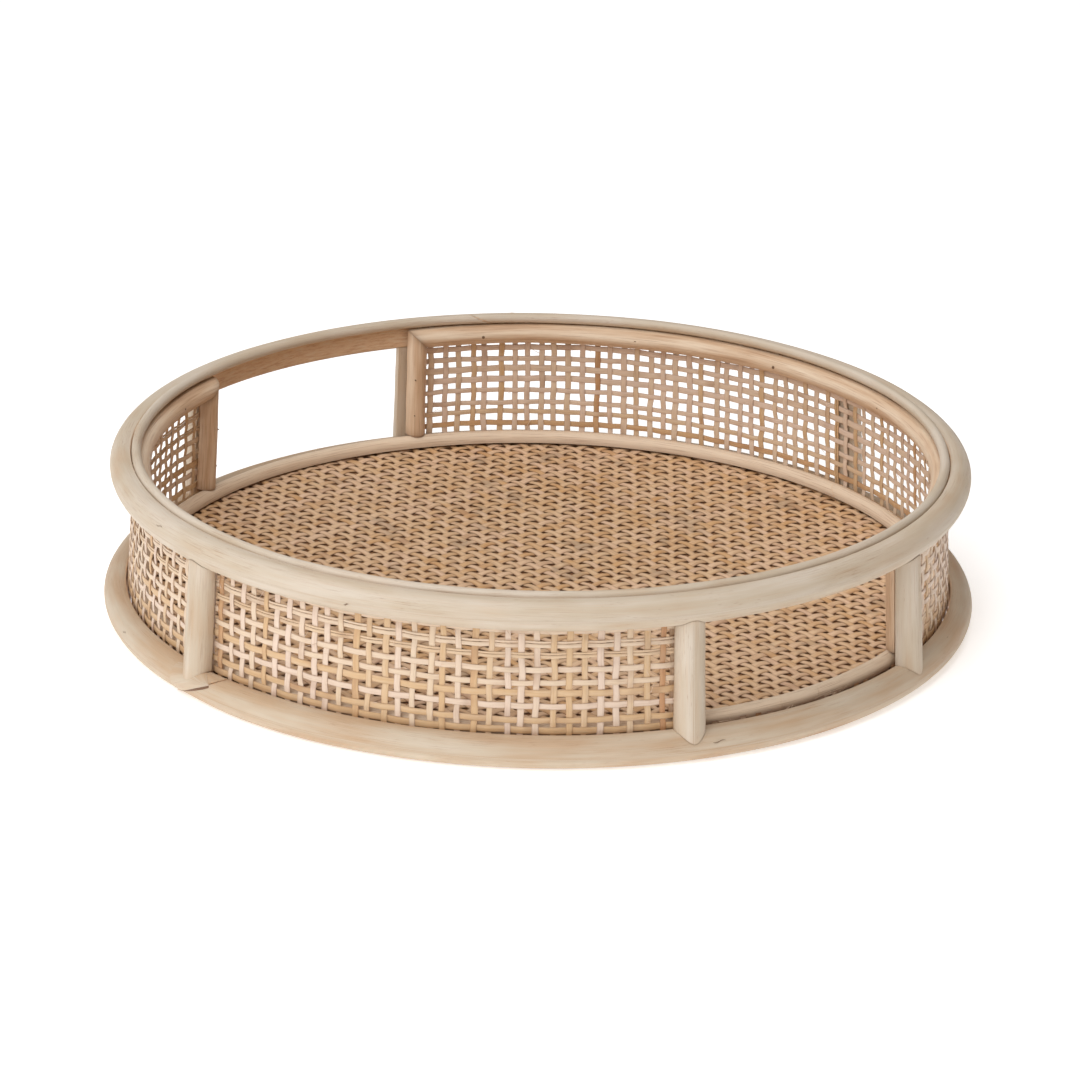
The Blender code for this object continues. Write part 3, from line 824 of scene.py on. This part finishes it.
def make_post(name, angle):
    """A leaning post: saddled on the bottom ring, coped under the top rim and planed flat to the wall."""
    shape = Shape()
    rng = dice(name)
    foot = on_circle(POST_FOOT_RHO, angle, RING_CENTRE[1] + POST_FOOT_LIFT)
    head = on_circle(POST_HEAD_RHO, angle, RIM_CENTRE[1])
    a = angle + tau * np.arange(POST_SECTION) / POST_SECTION
    round_way = np.stack([np.cos(a), np.sin(a), np.zeros(POST_SECTION)], axis=1)
    outward = np.array([cos(angle), sin(angle), 0.0])
    heights = np.linspace(0, 1, POST_TRIALS)

    def skin_at(height, scale):
        """The skin at shares of the way up, shrunk towards the axis and planed flat to the wall."""
        radius = (POST_FOOT_R + (POST_HEAD_R - POST_FOOT_R) * height) * scale
        points = foot + (head - foot) * height + round_way * radius
        short = np.maximum(wall_rho(points[..., 2]) + POST_CLEAR - points @ outward, 0.0)
        return points + short[..., None] * outward

    def row(scale, share):
        """One row of points, a share of the way between the lower and the upper pole."""
        trial = skin_at(heights[:, None, None], scale)
        in_ring = inside_pole(trial, RING_CENTRE, RING_R)
        in_rim = inside_pole(trial, RIM_CENTRE, RIM_R - POST_SUNK_IN_RIM)
        low = np.where(in_ring, heights[:, None], 0.0).max(axis=0)
        high = np.where(in_rim, heights[:, None], 1.0).min(axis=0)
        return skin_at((low + (high - low) * share)[:, None], scale)

    rows = [row(scale, 0.0) for scale in POST_END_SCALES]
    shares = 0.5 - 0.5 * np.cos(np.linspace(0, pi, POST_STATIONS))
    shares[0], shares[-1] = POST_LAST_SHARE, 1 - POST_LAST_SHARE
    wobble = 1 + 0.012 * drift(rng, shares * 0.06, 0.05)
    rows += [row(width, share) for width, share in zip(wobble, shares)]
    rows += [row(scale, 1.0) for scale in reversed(POST_END_SCALES)]
    rows = np.stack(rows)
    z = rows[..., 2]
    near_end = np.exp(-(z - z.min()) / (2.2 * MM)) + np.exp(-(z.max() - z) / (1.6 * MM))
    tone = tone_of(rows.shape[:2], POST_TINT, 0.30 * near_end, 0.08 * near_end)
    around = tau * POST_FOOT_R * np.arange(POST_SECTION) / POST_SECTION
    shape.loft(rows, z[:, 0] + 0.1 * angle, around, 10.0 + angle, tone)
    return shape.piece("pole_" + name, POLE, "pole", name)


# ---------------------------------------------------------------- woven cane

# Sections of cane, as (across, out) shares of the half width and half thickness
CROWNED_BOTH = np.array([(1, -0.45), (1, 0.45), (0.72, 0.92), (-0.72, 0.92),
                         (-1, 0.45), (-1, -0.45), (-0.72, -0.92), (0.72, -0.92)])
THREAD = np.array([(1, 0), (0, 1), (-1, 0), (0, -1)])
CROWNED_TOP = np.array([(1, -0.3), (0.66, 0.72), (0, 1), (-0.66, 0.72), (-1, -0.3), (0, -1)])


def cane_tone(stations, section, tint, mark=0.0):
    """A strip's tone: its tint, darker edges, and marks along it."""
    tone = np.empty((stations, len(section), 3))
    tone[..., 0] = tint
    tone[..., 1] = np.abs(section[:, 0]) ** 4
    tone[..., 2] = np.reshape(mark, (-1, 1)) if np.ndim(mark) else mark
    return tone


def tint_of(rng, darker):
    """A strip's own tint: mostly cream and pink, some ochre and orange, and more of those if darker."""
    pick = rng.random()
    if pick < 0.07 + darker:
        return rng.uniform(0.14, 0.34)
    if pick < 0.30 + darker:
        return rng.uniform(0.34, 0.60)
    return rng.uniform(0.60, 1.0)


def floor_tint(rng, s):
    """A floor strip's tint along s: mild between strips, with short darker or redder stretches."""
    base = rng.uniform(0.42, 0.92)
    return (base + 0.14 * drift(rng, s, 0.03)).clip(0.16, 1.0)[:, None]


def strands_of(rng):
    """(offset, width) shares of a strip's strands: now and then a strip is split in two."""
    if rng.random() > SPLIT_SHARE:
        return ((0.0, 1.0),)
    cut = rng.uniform(-0.3, 0.3)
    return ((cut / 2 - 0.5, 0.46 + cut / 2), (cut / 2 + 0.56, 0.42 - cut / 2))


def in_wall(angle, z, swing):
    """A path halfway through the leaning wall, swung in and out."""
    return on_circle(wall_rho(z) - WALL_THICK / 2 + swing, angle, z)


def tangents(angle):
    """Level directions along the wall."""
    return np.stack([-np.sin(angle), np.cos(angle), np.zeros(len(angle))], axis=1)


def add_wall_cane(shape, rng, path, across, width, seed, tint):
    """One cane of a wall, as one or two strands."""
    tone = cane_tone(len(path), CROWNED_BOTH, tint)
    for offset, share in strands_of(rng):
        strand = path + across * (offset * width)[:, None]
        ribbon(shape, strand, across, width * share, CANE_HALF_THICK, CROWNED_BOTH, seed, tone)


def make_wall(wall, turn):
    """One woven wall: upright canes in one piece and level canes in another."""
    rng = dice("wall_" + wall)
    low_z, high_z = WALL_BOX[0].z, WALL_BOX[1].z
    length = (pi - 2 * WALL_START) * WALL_RHO
    columns = int(length / COLUMN_PITCH)
    spare = length - columns * COLUMN_PITCH
    middles = (np.arange(columns) + 0.5) * COLUMN_PITCH + spare / 2
    middles += rng.normal(0, COLUMN_JITTER, columns)
    heights = np.arange(LOWEST_ROW_Z, high_z - TOP_ROW_CLEAR, ROW_PITCH)
    heights += rng.normal(0, ROW_JITTER, len(heights))
    slopes = rng.normal(0, ROW_SLOPE, len(heights))

    uprights = Shape()
    crossings = np.concatenate([[heights[0] - 2 * ROW_PITCH], heights[:1] - ROW_PITCH, heights,
                                heights[-1:] + ROW_PITCH])
    for i, middle in enumerate(middles):
        foot = low_z + rng.uniform(0, COLUMN_FRAY) * MM
        top = high_z - rng.uniform(0, COLUMN_FRAY) * MM
        z = np.linspace(foot, top, int((top - foot) / ROW_PITCH * STATIONS_PER_CROSSING))
        swing = WAVE * (-1) ** i * np.cos(pi * np.interp(z, crossings, np.arange(len(crossings))))
        lean = rng.normal(0, COLUMN_LEAN) * (z - foot) / (top - foot)
        arc = middle + lean + COLUMN_DRIFT * drift(rng, z, 0.045)
        angle = turn + WALL_START + arc / WALL_RHO
        width = rng.uniform(*COLUMN_HALF_WIDTHS) * MM * (1 + 0.06 * drift(rng, z, 0.03))
        path = in_wall(angle, z, swing)
        add_wall_cane(uprights, rng, path, tangents(angle), width, i + 1.0, tint_of(rng, 0.0))
    uprights.piece("cane_wall_%s_uprights" % wall, WALL_CANE, "wall_cane", "wall_" + wall)

    levels = Shape()
    count = (columns + 1) * STATIONS_PER_CROSSING
    across = np.tile(UP, (count, 1))
    crossings = np.concatenate([[-spare], middles, [middles[-1] + COLUMN_PITCH]])
    for j, height in enumerate(heights):
        arc = np.linspace(ROW_END_CLEAR, length - ROW_END_CLEAR, count)
        swing = -WAVE * (-1) ** j * np.cos(pi * (np.interp(arc, crossings, np.arange(len(crossings)) - 1)))
        angle = turn + WALL_START + arc / WALL_RHO
        z = height + slopes[j] * (arc / arc[-1] - 0.5) + ROW_DRIFT * drift(rng, arc, 0.09)
        width = rng.uniform(*ROW_HALF_WIDTHS) * MM * (1 + 0.05 * drift(rng, arc, 0.05))
        tint = LOWEST_ROW_TINT if j == 0 else tint_of(rng, 0.25 if j == 1 else 0.0)
        add_wall_cane(levels, rng, in_wall(angle, z, swing), across, width, 200.0 + j, tint)
    levels.piece("cane_wall_%s_levels" % wall, WALL_CANE, "wall_cane")


def make_sill(end, turn):
    """The cut edge of the weave under a handle gap: short frayed upright canes and one level cane."""
    rng = dice("sill_" + end)
    shape = Shape()
    low_z, high_z = SILL_BOX[0].z, SILL_BOX[1].z
    half = np.arcsin(SILL_BOX[1].y / WALL_RHO)
    columns = int(2 * half * WALL_RHO / COLUMN_PITCH)
    for i in range(columns):
        top = high_z - rng.uniform(0.0, SILL_FRAY) * MM
        z = np.linspace(low_z, top, SILL_STATIONS)
        angle = turn - half + (i + 0.5) * 2 * half / columns + rng.normal(0, 0.3 * MM) / WALL_RHO
        angle = angle + rng.normal(0, COLUMN_LEAN) / WALL_RHO * (z - low_z) / (top - low_z)
        swing = WAVE * (-1) ** i * np.cos(pi * (z - low_z) / ROW_PITCH)
        # Painted shade of the crevice under the beading: the canes are darkened all along and picked from
        # darker tints; their frayed tops are darker still
        mark = 0.25 + 0.5 * np.exp(-(top - z) / (0.8 * MM))
        tone = cane_tone(SILL_STATIONS, CROWNED_BOTH, tint_of(rng, 0.2), mark)
        ribbon(shape, in_wall(angle, z, swing), tangents(angle), SILL_HALF_WIDTH, CANE_HALF_THICK,
               CROWNED_BOTH, i + 300.0, tone)
    count = columns * STATIONS_PER_CROSSING
    share = np.linspace(0, 1, count)
    swing = -WAVE * np.cos(pi * (share * columns - 0.5))
    height = low_z + SILL_ROW_HEIGHT + 0.3 * MM * drift(rng, share, 0.3)
    path = in_wall(turn - half + 2 * half * share, height, swing)
    tone = cane_tone(count, CROWNED_BOTH, SILL_ROW_TINT)
    ribbon(shape, path, np.tile(UP, (count, 1)), SILL_ROW_HALF_WIDTH, CANE_HALF_THICK, CROWNED_BOTH,
           340.0, tone)
    return shape.piece("cane_wall_sill_" + end, WALL_CANE, "wall_cane", "wall_sill_" + end)


def add_hair(shape, rng, start, heading, length):
    """One loose fibre that curls away from its start and thins out."""
    share = np.linspace(0, 1, 9)[:, None]
    curl = rng.normal(0, 0.45, 3)
    path = start + (heading * share + curl * share ** 2) * length
    across = unit(np.cross(np.gradient(path, axis=0), curl))
    taper = 1 - 0.75 * share[:, 0]
    tone = cane_tone(len(path), THREAD, rng.uniform(0.55, 1.0))
    half_width = rng.uniform(0.10, 0.20) * MM * taper
    ribbon(shape, path, across, half_width, HAIR_HALF_THICK * taper, THREAD, 600.0, tone)


def make_hairs():
    """Loose fibres by the uprights, under the rim, by the posts, over the sills and on the walls."""
    rng = dice("hairs")
    shape = Shape()
    for low_angle, high_angle, low_z, high_z, side, count in HAIR_PATCHES:
        for _ in range(count):
            angle = radians(rng.uniform(low_angle, high_angle))
            z = rng.uniform(low_z, high_z) * MM
            outward = np.array([cos(angle), sin(angle), 0.0])
            tangent = np.array([-sin(angle), cos(angle), 0.0])
            rho = wall_rho(z) + (HAIR_OFF_WALL if side > 0 else -WALL_THICK - HAIR_OFF_WALL)
            heading = tangent * rng.normal(0, 0.8) + UP * rng.normal(0, 0.7)
            heading = heading + outward * side * rng.uniform(0.05, 0.4)
            add_hair(shape, rng, outward * rho + UP * z, heading, rng.uniform(2.0, 7.0) * MM)
    return shape.piece("cane_loose_fibres", WALL_CANE, "wall_cane")


def make_nicks():
    """Short dark splits and bruises in the poles' skin."""
    shape = Shape()
    for centre, radius, angle, section, length, width in NICKS:
        share = np.linspace(-1, 1, 9)
        turn = radians(angle) + share * length / 2 / centre[0]
        skin = radians(section) + 0.06 * np.sin(3 * share)
        path = on_circle(centre[0] + radius * np.cos(skin), turn, centre[1] + radius * np.sin(skin))
        out = on_circle(np.cos(skin), turn, np.sin(skin))
        across = unit(np.cross(out, np.gradient(path, axis=0)))
        taper = np.sqrt(np.maximum(0.02, 1 - share ** 2))
        tone = cane_tone(len(path), THREAD, 0.5, NICK_MARK)
        ribbon(shape, path, across, width / 2 * taper, NICK_HALF_THICK, THREAD, 700.0, tone)
    return shape.piece("pole_splits", POLE, "pole")


def floor_lines(rng, pitch):
    """Where the strips of one direction cross the floor."""
    count = int(2 * FLOOR_R / pitch)
    places = (np.arange(count) - (count - 1) / 2) * pitch
    return places + rng.normal(0, FLOOR_JITTER, count)


def make_floor():
    """The woven floor: strips along Y in one piece and strips along X in another."""
    rng = dice("floor_mat")
    lines_x = floor_lines(rng, FLOOR_PITCH_X)
    lines_y = floor_lines(rng, FLOOR_PITCH_Y)
    for name, lines, others, other_pitch, along_y, seed, nodes in (
            ("cane_floor_along_y", lines_x, lines_y, FLOOR_PITCH_Y, True, 400.0, ["floor_mat"]),
            ("cane_floor_along_x", lines_y, lines_x, FLOOR_PITCH_X, False, 500.0, [])):
        shape = Shape()
        for i, line in enumerate(lines):
            reach = FLOOR_R ** 2 - line ** 2
            if reach < (2 * other_pitch) ** 2:
                continue
            reach = reach ** 0.5
            count = int(2 * reach / other_pitch * STATIONS_PER_CROSSING)
            s = np.linspace(-reach, reach, count)
            place = np.interp(s, others, np.arange(len(others)))
            sign = (-1) ** i * (1 if along_y else -1)
            wave = FLOOR_WAVE * (1 + 0.25 * drift(rng, s, 0.04))
            rise = FLOOR_Z + wave * sign * np.cos(pi * place)
            side = line + FLOOR_DRIFT * drift(rng, s, 0.07)
            first, second = (side, s) if along_y else (s, side)
            path = np.stack([first, second, rise], axis=1)
            across = np.tile([-1.0, 0.0, 0.0] if along_y else [0.0, 1.0, 0.0], (count, 1))
            width = rng.uniform(*FLOOR_HALF_WIDTHS[along_y]) * (1 + 0.06 * drift(rng, s, 0.05))
            tone = cane_tone(count, CROWNED_TOP, floor_tint(rng, s))
            ribbon(shape, path, across, width, FLOOR_HALF_THICK, CROWNED_TOP, seed + i, tone)
        shape.piece(name, FLOOR_CANE, "floor_cane", *nodes)


# ---------------------------------------------------------------- stage, light and camera

def make_stage():
    """The plain floor, a hair under the tray."""
    mesh = bpy.data.meshes.new("stage_floor")
    square = ((-1, -1), (1, -1), (1, 1), (-1, 1))
    corners = [(x * STAGE_SIZE, y * STAGE_SIZE, STAGE_DROP) for x, y in square]
    mesh.from_pydata(corners, [], [(0, 1, 2, 3)])
    mesh.materials.append(stage_finish())
    floor = bpy.data.objects.new("stage_floor", mesh)
    bpy.context.collection.objects.link(floor)


def make_light(name, angle, elevation, distance, size, power):
    """A large soft square lamp that faces the tray."""
    data = bpy.data.lights.new(name, "AREA")
    data.shape = "SQUARE"
    data.size = size
    data.energy = power
    lamp = bpy.data.objects.new(name, data)
    back = Vector((cos(angle) * cos(elevation), sin(angle) * cos(elevation), sin(elevation)))
    lamp.location = back * distance
    lamp.rotation_mode = "QUATERNION"
    lamp.rotation_quaternion = (-back).to_track_quat("-Z", "Y")
    bpy.context.collection.objects.link(lamp)


def make_lights():
    """A key lamp, a top lamp, and surroundings that brighten towards the picture's left."""
    world = bpy.data.worlds.new("studio")
    world.use_nodes = True
    nodes, links = world.node_tree.nodes, world.node_tree.links
    leftward = nodes.new("ShaderNodeVectorMath")
    leftward.operation = "DOT_PRODUCT"
    leftward.inputs[1].default_value = (sin(CAMERA_ANGLE), -cos(CAMERA_ANGLE), 0.0)
    links.new(nodes.new("ShaderNodeTexCoord").outputs["Generated"], leftward.inputs[0])
    share = nodes.new("ShaderNodeMapRange")
    share.inputs["From Min"].default_value = -1.0
    links.new(leftward.outputs["Value"], share.inputs["Value"])
    walls = nodes.new("ShaderNodeValToRGB")
    walls.color_ramp.elements[0].color = WORLD_DIM
    walls.color_ramp.elements[1].color = WORLD_BRIGHT
    links.new(share.outputs[0], walls.inputs[0])
    links.new(walls.outputs["Color"], nodes["Background"].inputs["Color"])
    bpy.context.scene.world = world
    make_light("key", *KEY_LAMP)
    make_light("top", *TOP_LAMP)
    bpy.context.scene.view_settings.view_transform = "Standard"


def make_camera():
    """The camera, aimed past the bottom ring's centre by its pan, tilt and roll."""
    back = Vector((cos(CAMERA_ANGLE) * cos(CAMERA_ELEVATION), sin(CAMERA_ANGLE) * cos(CAMERA_ELEVATION),
                   sin(CAMERA_ELEVATION)))
    right = Vector((-sin(CAMERA_ANGLE), cos(CAMERA_ANGLE), 0.0))
    looks = Matrix((right, back.cross(right), back))
    turned = (Matrix.Rotation(CAMERA_ROLL, 3, "Z") @ Matrix.Rotation(CAMERA_TILT, 3, "X")
              @ Matrix.Rotation(CAMERA_PAN, 3, "Y") @ looks)
    data = bpy.data.cameras.new("camera")
    data.lens = CAMERA_LENS
    data.sensor_width = CAMERA_SENSOR
    data.clip_end = 50.0
    camera = bpy.data.objects.new("camera", data)
    place = back * CAMERA_DISTANCE + Vector((0.0, 0.0, RING_CENTRE[1]))
    camera.matrix_world = Matrix.Translation(place) @ turned.transposed().to_4x4()
    bpy.context.collection.objects.link(camera)
    bpy.context.scene.camera = camera


def finish_cad_nodes():
    """Nodes whose CAD shape is right keep it and get a detailed material."""
    for name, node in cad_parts.items():
        if name.startswith(("brad_", "nail_")):
            material = STEEL
        elif name == "base_board":
            material = BOARD
        else:
            continue
        node.data.materials.clear()
        node.data.materials.append(material)


def build():
    """Makes every piece, then the stage, the lights and the camera."""
    make_bottom_ring()
    make_top_rim()
    make_rim_cap()
    make_floor_beading()
    seed = 60.0
    walls = (("right", "front", "back", 0.0), ("left", "back", "front", pi))
    for wall, first_end, last_end, turn in walls:
        make_wall(wall, turn)
        make_facing(wall, turn)
        make_upright("upright_%s_%s" % (wall, first_end), turn + STRIP_START, 1, seed)
        make_upright("upright_%s_%s" % (wall, last_end), turn + pi - STRIP_START, -1, seed + 1)
        seed += 2
    for end, turn in (("front", 0.0), ("back", pi)):
        make_sill(end, turn)
    for name, angle in POST_ANGLES.items():
        make_post(name, angle)
    make_floor()
    make_hairs()
    make_nicks()
    finish_cad_nodes()
    make_stage()
    make_lights()
    make_camera()


build()
